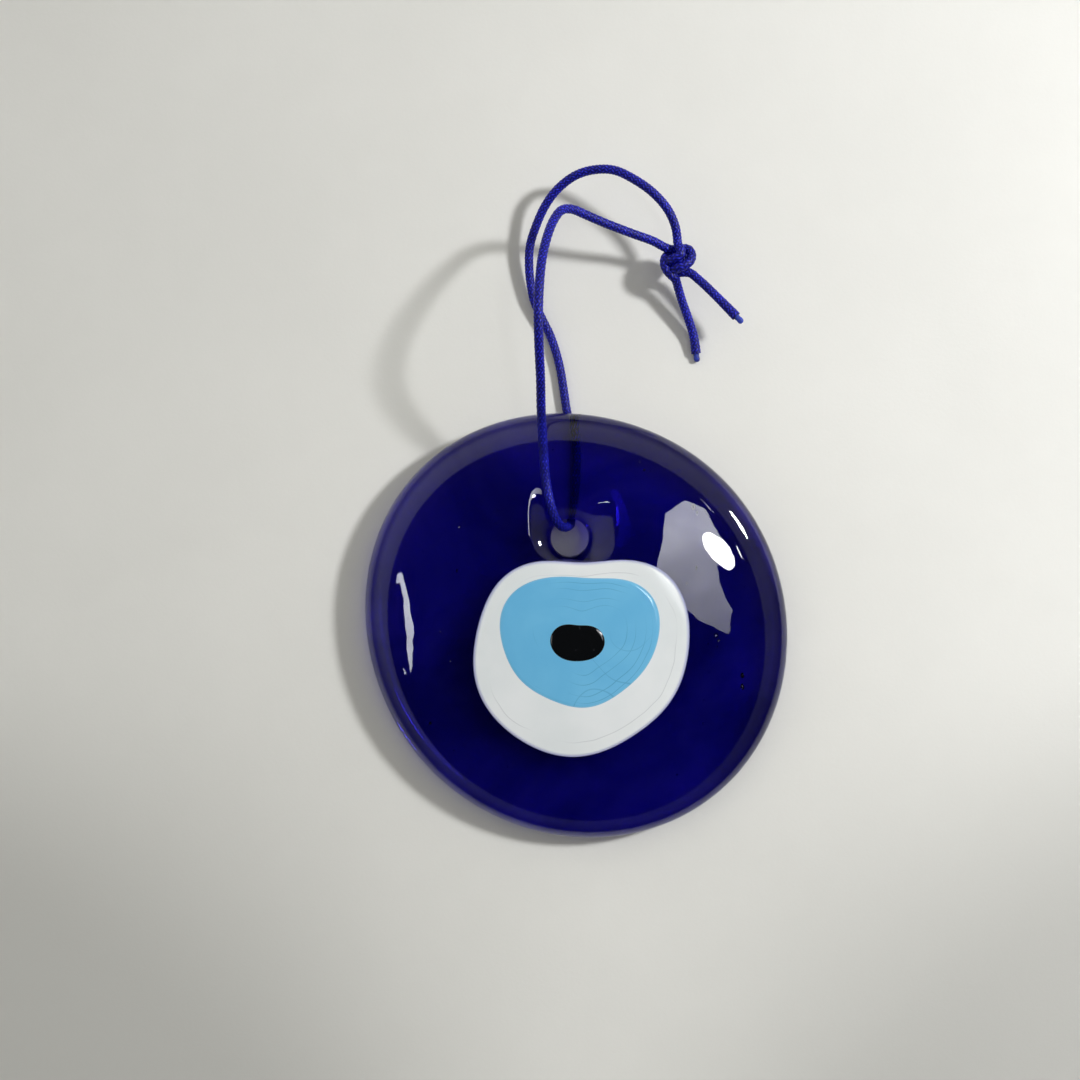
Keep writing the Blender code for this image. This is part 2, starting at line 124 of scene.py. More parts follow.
# Cord, as in the CAD model: x, y and the height of its underside, in millimetres.
CORD_DIAMETER = 1.65 * MM
CORD_RADIUS = CORD_DIAMETER / 2
SEAT_CLEARANCE = 0.15 * MM
TAIL_FLARE = 1.12
FLARE_LENGTH = 5.0 * MM
LOOP_ROUTE = (
    (16.2, 71.7, 6.2),
    (14.4, 72.5, 6.9),
    (10.6, 73.5, 8.4),
    (5.0, 75.1, 10.5),
    (1.4, 76.2, 12.3),
    (-1.1, 76.8, 13.9),
    (-2.9, 76.3, 15.4),
    (-4.3, 74.2, 17.4),
    (-5.5, 70.8, 20.0),
    (-6.5, 66.2, 22.7),
    (-7.0, 61.1, 24.8),
    (-7.2, 56.0, 25.4),
    (-7.1, 51.1, 24.2),
    (-6.8, 44.9, 20.8),
    (-6.7, 40.3, 17.5),
    (-6.5, 36.1, 14.6),
    (-6.2, 31.9, 12.1),
    (-5.8, 27.5, 10.5),
    (-4.9, 23.0, 9.8),
    (-3.9, 20.2, 8.4),
    (-2.6, 18.8, 6.1),
    (-1.2, 19.2, 3.3),
    (-0.9, 20.1, 1.1),
    (-0.7, 21.5, 0.15),
    (-0.5, 23.3, 0.0),
    (-0.2, 25.8, 0.0),
    (0.0, 29.6, 0.0),
    (0.0, 34.0, 0.0),
    (-0.7, 38.0, 0.0),
    (-1.7, 41.2, 0.05),
    (-2.2, 44.4, 0.05),
    (-3.2, 50.3, 0.1),
    (-4.8, 55.5, 0.2),
    (-6.5, 59.0, 0.45),
    (-8.0, 62.3, 0.8),
    (-8.7, 65.6, 1.2),
    (-9.0, 69.2, 1.7),
    (-8.8, 72.7, 2.4),
    (-7.7, 76.1, 3.2),
    (-5.9, 79.8, 4.4),
    (-3.5, 82.7, 5.7),
    (-0.1, 84.9, 7.0),
    (3.3, 85.6, 8.1),
    (6.9, 85.3, 8.9),
    (10.4, 83.6, 9.3),
    (14.0, 81.1, 9.3),
    (16.9, 78.0, 8.8),
    (18.4, 75.0, 8.0),
    (18.85, 72.8, 7.35),
)
SPLIT_POINT = (-2.6, 18.8, 6.1)
LOWER_TAIL_ROUTE = (
    (19.15, 64.8, 4.3),
    (20.1, 62.2, 3.1),
    (21.5, 58.8, 1.8),
    (22.7, 55.4, 0.7),
    (23.2, 52.4, 0.12),
)
RIGHT_TAIL_ROUTE = (
    (21.6, 66.95, 4.8),
    (22.8, 65.95, 4.95),
    (24.4, 64.45, 5.2),
    (27.2, 61.55, 5.7),
    (30.05, 58.5, 6.2),
)
RELAX_PASSES = 16
CROWN_CLEARANCE = 0.05  # in the routes' millimetres

KNOT_CENTRE = Vector((19.1, 68.9, 6.4)) * MM
KNOT_SQUEEZE = 0.94
KNOT_SWELL = 0.15  # how much wider the squashed cord is in the middle of the knot
KNOT_REACH = 3.6 * MM
HEART_SIZE = Vector((1.55, 1.65, 1.3)) * MM  # half axes of the lump inside the knot
HEART_PLACE = Vector((-0.1, 0.1, 0.1)) * MM  # of its middle, from the knot's
HEART_RINGS = 24
# Inside the knot, as offsets from its middle: the front strand loops round the rear one.
FRONT_KNOT_ROUTE = (
    (-2.2, 2.6, 0.45),
    (-1.1, 2.35, 0.1),
    (0.1, 2.45, -0.1),
    (1.3, 2.65, 0.2),
    (2.3, 2.2, 0.6),
    (2.7, 1.1, 0.9),
    (2.4, 0.0, 1.3),
    (1.5, -0.9, 1.6),
    (0.4, -1.3, 1.6),
    (-0.6, -1.6, 1.1),
    (-0.9, -1.8, -0.3),
    (-0.5, -1.2, -1.7),
    (0.6, -0.1, -2.1),
    (1.3, 1.1, -1.7),
    (0.7, 1.9, -1.4),
    (-0.8, 1.9, -1.0),
    (-2.1, 1.4, -0.5),
    (-2.6, 0.6, -0.1),
    (-2.65, -0.7, 0.2),
    (-2.1, -1.9, 0.3),
    (-1.2, -2.8, 0.2),
    (-0.4, -3.4, -0.3),
)
REAR_KNOT_ROUTE = (
    (-0.2, 3.2, 1.75),
    (0.2, 2.3, 2.0),
    (0.5, 1.3, 2.2),
    (0.0, 0.5, 2.15),
    (-1.0, 0.3, 1.7),
    (-1.6, -0.1, 0.7),
    (-1.3, -0.8, -0.6),
    (-0.4, -1.6, -1.1),
    (0.7, -1.9, -1.0),
    (1.7, -1.85, -0.85),
)
PLAITS = 8  # plaits that run each way round the cord
BRAID_PITCH = 5.2 * MM  # length of cord in which one plait goes once round
BRAID_RELIEF = 0.17 * MM
CORD_SIDES = 40
CORD_STEP = 0.13 * MM
CORE_RADIUS = 0.6 * MM
CORE_LENGTH = 1.4 * MM

# The view: straight down, from above a point up and to the left of the disc's middle.
CAMERA_PLACE = Vector((-6.9, 16.4, 260.0)) * MM
VIEW_WIDTH = 209.0 * MM  # of the table, edge to edge of the picture
SENSOR = 36.0
TABLE_HALF = 1.2  # half the table's width, in metres

# Bright patches of the ceiling that the face mirrors, at this height. Outlines are in millimetres.
CEILING = 500.0 * MM
PANEL = (
    (84, 28), (98, 38), (114, 31), (138, -12), (121, -12),
    (134, -48), (130, -66), (108, -57), (91, -40), (77, -12),
)
LAMP_MIDDLE = (124, -1)
LAMP_AXES = (17.0, 8.0)
LAMP_TURN = math.radians(-45)
STRIP_FAR = (-122.5, -23.0)
STRIP_LENGTH = 77.0
STRIP_LEAN = 5.5  # how far the strip runs sideways over its length
STRIP_BOW = 3.0
STRIP_END_HALF = 0.3  # half the strip's width at its ends
STRIP_HALF_WIDTH = 2.7  # added to it in the middle


# ---------------------------------------------------------------- nodes


class Nodes:
    """A node tree that is written as calls. add returns the new node, the others an output socket."""

    def __init__(self, tree):
        self.tree = tree
        tree.nodes.clear()

    def add(self, kind, settings=(), inputs=()):
        node = self.tree.nodes.new(kind)
        for key, value in dict(settings).items():
            setattr(node, key, value)
        for key, value in dict(inputs).items():
            if isinstance(value, bpy.types.NodeSocket):
                self.tree.links.new(value, node.inputs[key])
            else:
                node.inputs[key].default_value = value
        return node

    def math(self, operation, *values):
        node = self.add("ShaderNodeMath", {"operation": operation})
        for i, value in enumerate(values):
            if isinstance(value, bpy.types.NodeSocket):
                self.tree.links.new(value, node.inputs[i])
            else:
                node.inputs[i].default_value = value
        return node.outputs[0]

    def ramp(self, value, low, high, to_low=0.0, to_high=1.0):
        settings = {"interpolation_type": "SMOOTHSTEP"}
        inputs = {0: value, 1: low, 2: high, 3: to_low, 4: to_high}
        return self.add("ShaderNodeMapRange", settings, inputs).outputs[0]

    def mix(self, share, first, second, blend="MIX"):
        node = self.add("ShaderNodeMix", {"data_type": "RGBA", "blend_type": blend})
        for key, value in ((0, share), (6, first), (7, second)):
            if isinstance(value, bpy.types.NodeSocket):
                self.tree.links.new(value, node.inputs[key])
            elif key == 0:
                node.inputs[key].default_value = value
            else:
                node.inputs[key].default_value = (*value, 1.0)
        return node.outputs[2]

    def noise(self, scale, detail=3.0, roughness=0.5, distortion=0.0):
        inputs = {"Scale": scale, "Detail": detail, "Roughness": roughness, "Distortion": distortion}
        node = self.add("ShaderNodeTexNoise", {}, inputs)
        self.tree.links.new(self.place(), node.inputs["Vector"])
        return node.outputs[0]

    def place(self):
        return self.add("ShaderNodeTexCoord").outputs["Object"]

    def attribute(self, name):
        return self.add("ShaderNodeAttribute", {"attribute_name": name}).outputs["Fac"]

    def bump(self, height, distance, strength=1.0):
        inputs = {"Height": height, "Distance": distance, "Strength": strength}
        return self.add("ShaderNodeBump", {}, inputs).outputs[0]


def new_material(name):
    material = bpy.data.materials.new(name)
    material.use_nodes = True
    return material, Nodes(material.node_tree)


def finish_material(nodes, inputs):
    shader = nodes.add("ShaderNodeBsdfPrincipled", {}, inputs)
    output = nodes.add("ShaderNodeOutputMaterial")
    nodes.tree.links.new(shader.outputs[0], output.inputs["Surface"])
    return output


def cobalt_glass():
    """Clear deep blue glass: its colour is what the thickness absorbs."""
    material, nodes = new_material("cobalt_glass")
    uneven = nodes.noise(150.0, 2.0)
    streaks = nodes.ramp(nodes.noise(34.0, 3.0, distortion=1.2), 0.32, 0.66)
    inputs = {
        "Base Color": nodes.mix(streaks, (0.5, 0.5, 0.7), (1.0, 1.0, 1.0)),
        "Roughness": 0.0,
        "IOR": GLASS_IOR,
        "Transmission Weight": 1.0,
        "Normal": nodes.bump(uneven, 0.02 * MM, 0.5),
    }
    output = finish_material(nodes, inputs)
    inside = {"Color": GLASS_TINT, "Density": GLASS_DENSITY}
    inner = nodes.add("ShaderNodeVolumeAbsorption", {}, inside)
    nodes.tree.links.new(inner.outputs[0], output.inputs["Volume"])
    return material


def fold_lines(nodes, inset, line, width):
    """A faint line that follows the layer's outline at about this inset, broken up by noise."""
    wander = nodes.math("MULTIPLY", nodes.math("SUBTRACT", nodes.noise(90.0, 2.0), 0.5), 2.2)
    off = nodes.math("ABSOLUTE", nodes.math("SUBTRACT", nodes.math("ADD", inset, wander), line))
    near = nodes.ramp(off, 0.0, width, 1.0, 0.0)
    present = nodes.ramp(nodes.noise(60.0, 1.0), 0.42, 0.58)
    return nodes.math("MULTIPLY", near, present)


def white_glass():
    """Opaque milk glass, a little clearer where it thins out at its edge."""
    material, nodes = new_material("white_glass")
    inset = nodes.attribute("inset_mm")
    cloud = nodes.ramp(nodes.noise(70.0, 3.0), 0.35, 0.7)
    colour = nodes.mix(cloud, (0.80, 0.845, 0.87), (0.87, 0.90, 0.925))
    line = nodes.math("MULTIPLY", fold_lines(nodes, inset, 2.6, 0.12), 0.35)
    colour = nodes.mix(line, colour, (0.30, 0.32, 0.38))
    thin = nodes.ramp(inset, 0.0, 0.75, 0.8, 0.0)
    colour = nodes.mix(thin, colour, (0.27, 0.28, 0.62))
    inputs = {
        "Base Color": colour,
        "Roughness": 0.06,
        "IOR": GLASS_IOR,
        "Normal": nodes.bump(nodes.noise(180.0, 2.0), 0.02 * MM, 0.5),
    }
    finish_material(nodes, inputs)
    return material


def light_blue_glass():
    """Opaque light blue glass with thin darker lines where the pour folded."""
    material, nodes = new_material("light_blue_glass")
    inset = nodes.attribute("inset_mm")
    cloud = nodes.ramp(nodes.noise(80.0, 3.0, distortion=0.6), 0.3, 0.7)
    colour = nodes.mix(cloud, (0.15, 0.49, 0.80), (0.18, 0.54, 0.84))
    lines = fold_lines(nodes, inset, 1.2, 0.09)
    for line in (2.5, 4.6, 6.3):
        lines = nodes.math("MAXIMUM", lines, fold_lines(nodes, inset, line, 0.1))
    curl = nodes.noise(62.0, 0.0, distortion=0.9)
    curls = nodes.ramp(nodes.math("ABSOLUTE", nodes.math("SUBTRACT", curl, 0.5)), 0.0, 0.01, 1.0, 0.0)
    y = nodes.add("ShaderNodeSeparateXYZ", {}, {0: nodes.place()}).outputs[1]
    low = nodes.ramp(y, -6.0 * MM, 0.0, 0.6, 0.0)
    lines = nodes.math("MAXIMUM", lines, nodes.math("MULTIPLY", curls, low))
    lines = nodes.math("MULTIPLY", lines, 0.55)
    colour = nodes.mix(lines, colour, (0.04, 0.2, 0.42))
    thin = nodes.ramp(inset, 0.0, 0.45, 0.5, 0.0)
    colour = nodes.mix(thin, colour, (0.38, 0.60, 0.74))
    inputs = {
        "Base Color": colour,
        "Roughness": 0.06,
        "IOR": GLASS_IOR,
        "Normal": nodes.bump(nodes.noise(180.0, 2.0), 0.02 * MM, 0.5),
    }
    finish_material(nodes, inputs)
    return material


def black_glass():
    """Opaque black glass with a thin brown tinge at its edge."""
    material, nodes = new_material("black_glass")
    inset = nodes.attribute("inset_mm")
    edge = nodes.ramp(inset, 0.0, 0.35, 1.0, 0.0)
    colour = nodes.mix(edge, (0.0035, 0.004, 0.005), (0.045, 0.04, 0.035))
    speck = nodes.ramp(nodes.noise(900.0, 2.0), 0.68, 0.78, 0.0, 0.25)
    colour = nodes.mix(speck, colour, (0.05, 0.05, 0.06))
    inputs = {
        "Base Color": colour,
        "Roughness": 0.05,
        "IOR": GLASS_IOR,
        "Normal": nodes.bump(nodes.noise(200.0, 2.0), 0.02 * MM, 0.5),
    }
    finish_material(nodes, inputs)
    return material


def blue_braid():
    """Shiny royal blue yarn, with painted highlights on the crowns of the plaits and painted shade in the
    grooves between them.
    """
    material, nodes = new_material("blue_braid")
    relief = nodes.attribute("relief")
    lean = nodes.attribute("lean")
    crown = nodes.mix(lean, (0.004, 0.005, 0.42), (0.008, 0.010, 0.56))
    # Painted shade: the grooves between the plaits are darkened to near black.
    colour = nodes.mix(nodes.ramp(relief, 0.35, 0.85), (0.0005, 0.0005, 0.016), crown)
    # Painted highlight: glints painted pale blue on the tops of the crowns.
    colour = nodes.mix(nodes.ramp(relief, 0.85, 0.98), colour, (0.07, 0.085, 0.85))
    worn = nodes.ramp(nodes.noise(350.0, 3.0), 0.35, 0.75, 0.7, 1.15)
    tone = nodes.add("ShaderNodeCombineColor", {}, {0: worn, 1: worn, 2: worn}).outputs[0]
    colour = nodes.mix(1.0, colour, tone, "MULTIPLY")
    fibres = nodes.noise(9000.0, 2.0, 0.6)
    inputs = {
        "Base Color": colour,
        "Roughness": nodes.ramp(relief, 0.3, 1.0, 0.6, 0.26),
        "Specular IOR Level": 0.28,
        "Normal": nodes.bump(fibres, 0.02 * MM, 0.5),
    }
    finish_material(nodes, inputs)
    return material


def melted_core():
    """The cord's core where it was melted: smooth, paler blue with a darker scorched side."""
    material, nodes = new_material("melted_core")
    scorch = nodes.ramp(nodes.noise(1400.0, 3.0), 0.45, 0.62)
    colour = nodes.mix(scorch, (0.03, 0.06, 0.5), (0.012, 0.014, 0.16))
    inputs = {
        "Base Color": colour,
        "Roughness": nodes.ramp(scorch, 0.0, 1.0, 0.25, 0.5),
        "Normal": nodes.bump(nodes.noise(2500.0, 2.0), 0.03 * MM, 0.8),
    }
    finish_material(nodes, inputs)
    return material


def trapped_air():
    """Small bubbles at the face, with a painted bright middle in a painted dark ring in place of the light
    bent through them.
    """
    material, nodes = new_material("trapped_air")
    facing = nodes.add("ShaderNodeLayerWeight", {}, {"Blend": 0.5}).outputs["Facing"]
    # Painted light: bright where the bubble faces the view, dark towards its outline.
    ring = nodes.ramp(nodes.math("ADD", facing, nodes.noise(900.0, 2.0)), 0.5, 0.62)
    bubble_painted_light = nodes.mix(ring, (0.6, 0.62, 0.8), (0.002, 0.002, 0.012))
    finish_material(nodes, {"Base Color": bubble_painted_light, "Roughness": 0.12})
    return material


def paper():
    """The plain pale table: matt off-white with a very slight unevenness, and painted shade that darkens
    it towards its two corners at negative y.
    """
    material, nodes = new_material("paper")
    cloud = nodes.ramp(nodes.noise(18.0, 4.0, 0.6), 0.3, 0.7)
    colour = nodes.mix(cloud, (0.81, 0.81, 0.785), (0.84, 0.84, 0.815))
    x, y, _ = nodes.add("ShaderNodeSeparateXYZ", {}, {0: nodes.place()}).outputs
    # Painted shade: darker towards the corners at negative y, in place of the light falling off there.
    painted_corner_shade = nodes.math("MULTIPLY", nodes.math("ABSOLUTE", x), nodes.math("MULTIPLY", y, -1.0))
    colour = nodes.mix(nodes.ramp(painted_corner_shade, 0.0, 0.0062), colour, (0.58, 0.58, 0.56))
    grain = nodes.noise(1500.0, 3.0, 0.6)
    inputs = {"Base Color": colour, "Roughness": 0.85, "Normal": nodes.bump(grain, 0.05 * MM, 0.35)}
    finish_material(nodes, inputs)
    return material


# ---------------------------------------------------------------- meshes


def add_object(name, mesh, material, body=None, replaced=()):
    made = bpy.data.objects.new(name, mesh)
    bpy.context.scene.collection.objects.link(made)
    mesh.materials.append(material)
    if body:
        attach(made, body)
        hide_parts(*replaced)
    return made


def mesh_from_rings(name, rings, closed_ring=False, values=None, inside_out=False):
    """Joins equal rings of points into one closed skin, with the named value of each point."""
    points = [Vector(p) for ring in rings for p in ring]
    count, sides = len(rings), len(rings[0])
    faces = []
    for low in range(count if closed_ring else count - 1):
        high = (low + 1) % count
        for i in range(sides):
            j = (i + 1) % sides
            faces.append((low * sides + i, low * sides + j, high * sides + j, high * sides + i))
    ends = [] if closed_ring else [(0, True), (count - 1, False)]
    extra = []
    for ring, flip in ends:
        first = ring * sides
        points.append(sum(points[first : first + sides], Vector()) / sides)
        extra.append(first)
        for i in range(sides):
            a, b = first + i, first + (i + 1) % sides
            faces.append((b, a, len(points) - 1) if flip else (a, b, len(points) - 1))
    mesh = bpy.data.meshes.new(name)
    mesh.from_pydata(points, [], faces)
    for key, numbers in (values or {}).items():
        flat = [n for ring in numbers for n in ring]
        flat += [flat[first] for first in extra]
        mesh.attributes.new(key, "FLOAT", "POINT").data.foreach_set("value", flat)
    mesh.validate()
    if inside_out:
        mesh.flip_normals()
    mesh.shade_smooth()
    return mesh


def waved_radius(angle, mean, waves):
    bumps = sum(share * math.cos(turns * (angle - math.radians(peak))) for turns, share, peak in waves)
    return mean * (1 + bumps)


def disc_edge(angle, inset=0.0):
    """Point of the disc's outline at this angle from its middle, moved inwards along the normal."""
    small = 0.001
    here, after = (
        Vector((math.cos(a), math.sin(a))) * waved_radius(a, DISC_RADIUS, DISC_WAVES)
        for a in (angle, angle + small)
    )
    along = (after - here).normalized()
    return here - Vector((along.y, -along.x)) * inset


def edge_angle_from_hole(bearing):
    """Angle about the disc's middle of the outline point at this bearing from the hole."""
    step = Vector((math.cos(bearing), math.sin(bearing)))
    near, far = 0.0, 3 * DISC_RADIUS
    for _ in range(40):
        middle = (near + far) / 2
        point = HOLE + step * middle
        outside = point.length > waved_radius(math.atan2(point.y, point.x), DISC_RADIUS, DISC_WAVES)
        near, far = (near, middle) if outside else (middle, far)
    return math.atan2(point.y, point.x)


def dimple_section(share, heading):
    """Centre of the dimple's section and its radius that way, from the bore (0) to the lip (1)."""
    power = 2 + DIMPLE_SQUARE * share
    bulge = (abs(heading.x) ** power + abs(heading.y) ** power) ** (-1 / power)
    return HOLE.lerp(DIMPLE, share), (HOLE_RADIUS + (DIMPLE_RADIUS - HOLE_RADIUS) * share) * bulge


def dimple_profile(inward):
    """Drop of the dimple's wall at this share of the way from its lip (0) to the bore (1): it
    rounds over the lip, runs down straight, and turns steeply into the bore."""
    if inward < DIMPLE_LIP:
        cone = inward**2 / (2 * DIMPLE_LIP)
    else:
        cone = inward - DIMPLE_LIP / 2
    steep = 1 - max(0.0, 1 - inward**3.5) ** (1 / 2.5)
    return DIMPLE_DEPTH * (DIMPLE_CONE * cone / (1 - DIMPLE_LIP / 2) + (1 - DIMPLE_CONE) * steep)


def dimple_drop(point):
    """How far the face drops at this point because of the dimple."""
    if (point - DIMPLE).length >= 1.3 * DIMPLE_RADIUS:
        return 0.0
    low, high = 0.0, 1.2
    for _ in range(30):
        share = (low + high) / 2
        offset = point - HOLE.lerp(DIMPLE, share)
        radius = dimple_section(share, offset.normalized())[1]
        low, high = (share, high) if offset.length > radius else (low, share)
    return dimple_profile(1 - share) if share < 1 else 0.0


def dome_height(point):
    """Height of the face above the back without the dimple, with the pour's slow unevenness."""
    angle = math.atan2(point.y, point.x)
    shoulder = waved_radius(angle, DISC_RADIUS, DISC_WAVES) - SHOULDER_WIDTH
    share = min(1.0, point.length / shoulder)
    uneven = noise.noise(Vector((point.x, point.y, 0.02)) / POUR_SPAN) * POUR_WAVE
    return RIM_TOP + CROWN * (1 - share**2) + uneven * (1 - share**4)


def face_height(point):
    return dome_height(point) - dimple_drop(point)


def quarter(count):
    """Cosine and sine at equal steps of a quarter turn, both ends included."""
    return [
        (math.cos(math.pi / 2 * i / count), math.sin(math.pi / 2 * i / count)) for i in range(count + 1)
    ]


def disc_mesh(name):
    """The disc as rings of points about the hole: up the bore, out over the face, round the rim,
    and back under the flat back."""
    bearings = [2 * math.pi * i / DISC_SIDES for i in range(DISC_SIDES)]
    angles = [edge_angle_from_hole(b) for b in bearings]
    headings = [Vector((math.cos(b), math.sin(b))) for b in bearings]
    rings = []
    for across, up in quarter(8):
        radius = HOLE_RADIUS + HOLE_BACK_ROUND * (1 - up)
        height = HOLE_BACK_ROUND * (1 - across)
        rings.append([(*(HOLE + h * radius), height) for h in headings])
    for across, _ in quarter(32):
        sections = [dimple_section(1 - across, h) for h in headings]
        ring = [centre + h * radius for h, (centre, radius) in zip(headings, sections)]
        rings.append([(*p, dome_height(p) - dimple_profile(across)) for p in ring])
    for step in range(1, 31):
        ring = [
            (DIMPLE + h * dimple_section(1.0, h)[1]).lerp(disc_edge(a, SHOULDER_WIDTH), step / 30)
            for h, a in zip(headings, angles)
        ]
        rings.append([(*p, face_height(p)) for p in ring])
    for across, up in quarter(20)[1:]:
        ring = [disc_edge(a, SHOULDER_WIDTH * (1 - up)) for a in angles]
        rings.append([(*p, RIM_MID + (RIM_TOP - RIM_MID) * across) for p in ring])
    for across, up in quarter(10)[1:]:
        ring = [disc_edge(a, FOOT_ROUND * (1 - across)) for a in angles]
        rings.append([(*p, RIM_MID * (1 - up)) for p in ring])
    return mesh_from_rings(name, rings, closed_ring=True, inside_out=True)


def layer_mesh(name, layer):
    """One eye layer. Its face swells softly out of the glass round it, with no step at its edge."""
    turns = [2 * math.pi * i / LAYER_SIDES for i in range(LAYER_SIDES)]
    headings = [Vector((math.cos(a), math.sin(a))) for a in turns]
    radii = [waved_radius(a, layer["radius"], layer["waves"]) for a in turns]
    floor = RIM_TOP + CROWN - layer["depth"]
    rings, insets = [], []

    def add(inset, share, height):
        ring = [layer["centre"] + h * (r - inset) * share for h, r in zip(headings, radii)]
        rings.append([(*p, height(p)) for p in ring])
        insets.append([(r - (r - inset) * share) / MM for r in radii])

    for share in (0.05, 0.4, 0.75):
        add(LAYER_ROUND, share, lambda p: floor)
    for across, up in quarter(6):
        side = 1 - across
        add(LAYER_ROUND * (1 - up), 1.0, lambda p: floor + (face_height(p) - LAYER_EDGE - floor) * side)
    for step in range(9):
        share = step / 8
        swell = layer["base"] + (layer["proud"] - layer["base"]) * math.sin(math.pi / 2 * share)
        add(LAYER_SWELL * share, 1.0, lambda p: face_height(p) + swell)
    for step in range(1, LAYER_FACE_RINGS):
        add(LAYER_SWELL, 1 - step / LAYER_FACE_RINGS, lambda p: face_height(p) + layer["proud"])
    return mesh_from_rings(name, rings, values={"inset_mm": insets})


def seat_matrix(body_mesh):
    """The tilt and place of the disc on the cord, as in the CAD model."""
    foot = disc_edge(-math.pi / 2, FOOT_ROUND).y
    propped = HOLE.y + HOLE_RADIUS + HOLE_BACK_ROUND
    tilt = math.asin((CORD_DIAMETER + SEAT_CLEARANCE) / (propped - foot))
    to_foot, from_foot = Matrix.Translation((0, foot, 0)), Matrix.Translation((0, -foot, 0))
    turn = to_foot @ Matrix.Rotation(tilt, 4, "X") @ from_foot
    places = np.array([turn @ v.co for v in body_mesh.vertices])
    mine = np.array([(places[:, k].min() + places[:, k].max()) / 2 for k in (0, 1)] + [places[:, 2].min()])
    low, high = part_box("cobalt_glass_body")
    wanted = Vector(((low[0] + high[0]) / 2, (low[1] + high[1]) / 2, low[2]))
    return Matrix.Translation(wanted - Vector(mine)) @ turn


def bubbles_mesh(name):
    """Tiny bubbles of trapped air, each a round closed blob just under the face."""
    points, faces = [], []
    chance = np.random.default_rng(7)
    rows, sides = 6, 8
    found = [(Vector((x, y)) * MM, radius * MM) for x, y, radius in BUBBLES]
    while len(found) < BUBBLE_COUNT:
        angle, share = chance.uniform(0, 2 * math.pi), math.sqrt(chance.uniform(0, 1))
        place = Vector((math.cos(angle), math.sin(angle))) * share * (DISC_RADIUS - SHOULDER_WIDTH)
        from_eye = (place - LAYERS["white_glass_layer"]["centre"]).length
        if (place - DIMPLE).length > 1.2 * DIMPLE_RADIUS and from_eye > BUBBLE_FREE_RADIUS:
            found.append((place, chance.uniform(0.07, 0.18) * MM))
    for place, radius in found:
        middle = Vector((*place, face_height(place) - radius - BUBBLE_DEPTH))
        stretch = 1 + chance.uniform(0.0, 0.8)
        first = len(points)
        points.append(middle + Vector((0, 0, -radius)))
        for row in range(1, rows):
            lift = math.pi * row / rows
            for side in range(sides):
                turn = 2 * math.pi * side / sides
                out = Vector((math.cos(turn), math.sin(turn) * stretch, 0)) * math.sin(lift)
                points.append(middle + (out + Vector((0, 0, -math.cos(lift)))) * radius)
        points.append(middle + Vector((0, 0, radius)))
        last = len(points) - 1
        for side in range(sides):
            after = (side + 1) % sides
            faces.append((first, first + 1 + after, first + 1 + side))
            for row in range(rows - 2):
                base = first + 1 + row * sides
                faces.append((base + side, base + after, base + sides + after, base + sides + side))
            base = first + 1 + (rows - 2) * sides
            faces.append((base + side, base + after, last))
    mesh = bpy.data.meshes.new(name)
    mesh.from_pydata(points, [], faces)
    mesh.shade_smooth()
    return mesh


# ---------------------------------------------------------------- cord


def smooth_curve(points, steps=24):
    """Dense points of a smooth curve through the given ones (centripetal Catmull-Rom)."""
    ends = [points[0] * 2 - points[1], *points, points[-1] * 2 - points[-2]]
    found = []
    for p0, p1, p2, p3 in zip(ends, ends[1:], ends[2:], ends[3:]):
        t1 = (p1 - p0).length ** 0.5
        t2 = t1 + (p2 - p1).length ** 0.5
        t3 = t2 + (p3 - p2).length ** 0.5
        for i in range(steps):
            t = t1 + (t2 - t1) * i / steps
            a1 = p0.lerp(p1, t / t1)
            a2 = p1.lerp(p2, (t - t1) / (t2 - t1))
            a3 = p2.lerp(p3, (t - t2) / (t3 - t2))
            b1 = a1.lerp(a2, t / t2)
            b2 = a2.lerp(a3, (t - t1) / (t3 - t1))
            found.append(b1.lerp(b2, (t - t1) / (t2 - t1)))
    return [*found, points[-1].copy()]


def even_points(dense, step):
    """The same line with its points a step apart."""
    places = np.array(dense)
    runs = np.concatenate([[0], np.cumsum(np.linalg.norm(np.diff(places, axis=0), axis=1))])
    wanted = np.linspace(0, runs[-1], max(2, round(runs[-1] / step)) + 1)
    return [Vector(p) for p in np.stack([np.interp(wanted, runs, places[:, k]) for k in range(3)], 1)]


def relaxed(line):
    """The same line with its kinks eased, as a stiff cord would."""
    for _ in range(RELAX_PASSES):
        inner = [(a + b * 2 + c) / 4 for a, b, c in zip(line, line[1:], line[2:])]
        line = [line[0], *inner, line[-1]]
    return line


def route_points(route):
    """A route's points in metres, on the cord's centreline, with its crowns clear of the table."""
    raised = [Vector((x, y, max(z, CROWN_CLEARANCE))) * MM for x, y, z in route]
    return [point + Vector((0, 0, CORD_RADIUS)) for point in raised]


def knot_points(route):
    """The turns inside the knot, drawn a little tighter than the route."""
    return [KNOT_CENTRE + Vector((x * KNOT_SQUEEZE, y * KNOT_SQUEEZE, z)) * MM for x, y, z in route]


def braid_relief(turn, run):
    """Relief of a two-over, two-under braid, and which way the plait on top leans (0 or 1)."""
    first = PLAITS * (turn / (2 * math.pi) + run / BRAID_PITCH)
    second = PLAITS * (turn / (2 * math.pi) - run / BRAID_PITCH)
    i, j = np.floor(first), np.floor(second)
    crown_a = np.cos(np.pi * (first - i - 0.5))
    crown_b = np.cos(np.pi * (second - j - 0.5))
    wave_a = np.sin(np.pi / 2 * (second - i))
    wave_b = np.sin(np.pi / 2 * (first - j - 1))
    height_a = 0.55 * crown_a**0.6 + 0.45 * wave_a * crown_a**0.3
    height_b = 0.55 * crown_b**0.6 + 0.45 * wave_b * crown_b**0.3
    return np.clip(np.maximum(height_a, height_b), 0, 1), (height_b > height_a).astype(float)


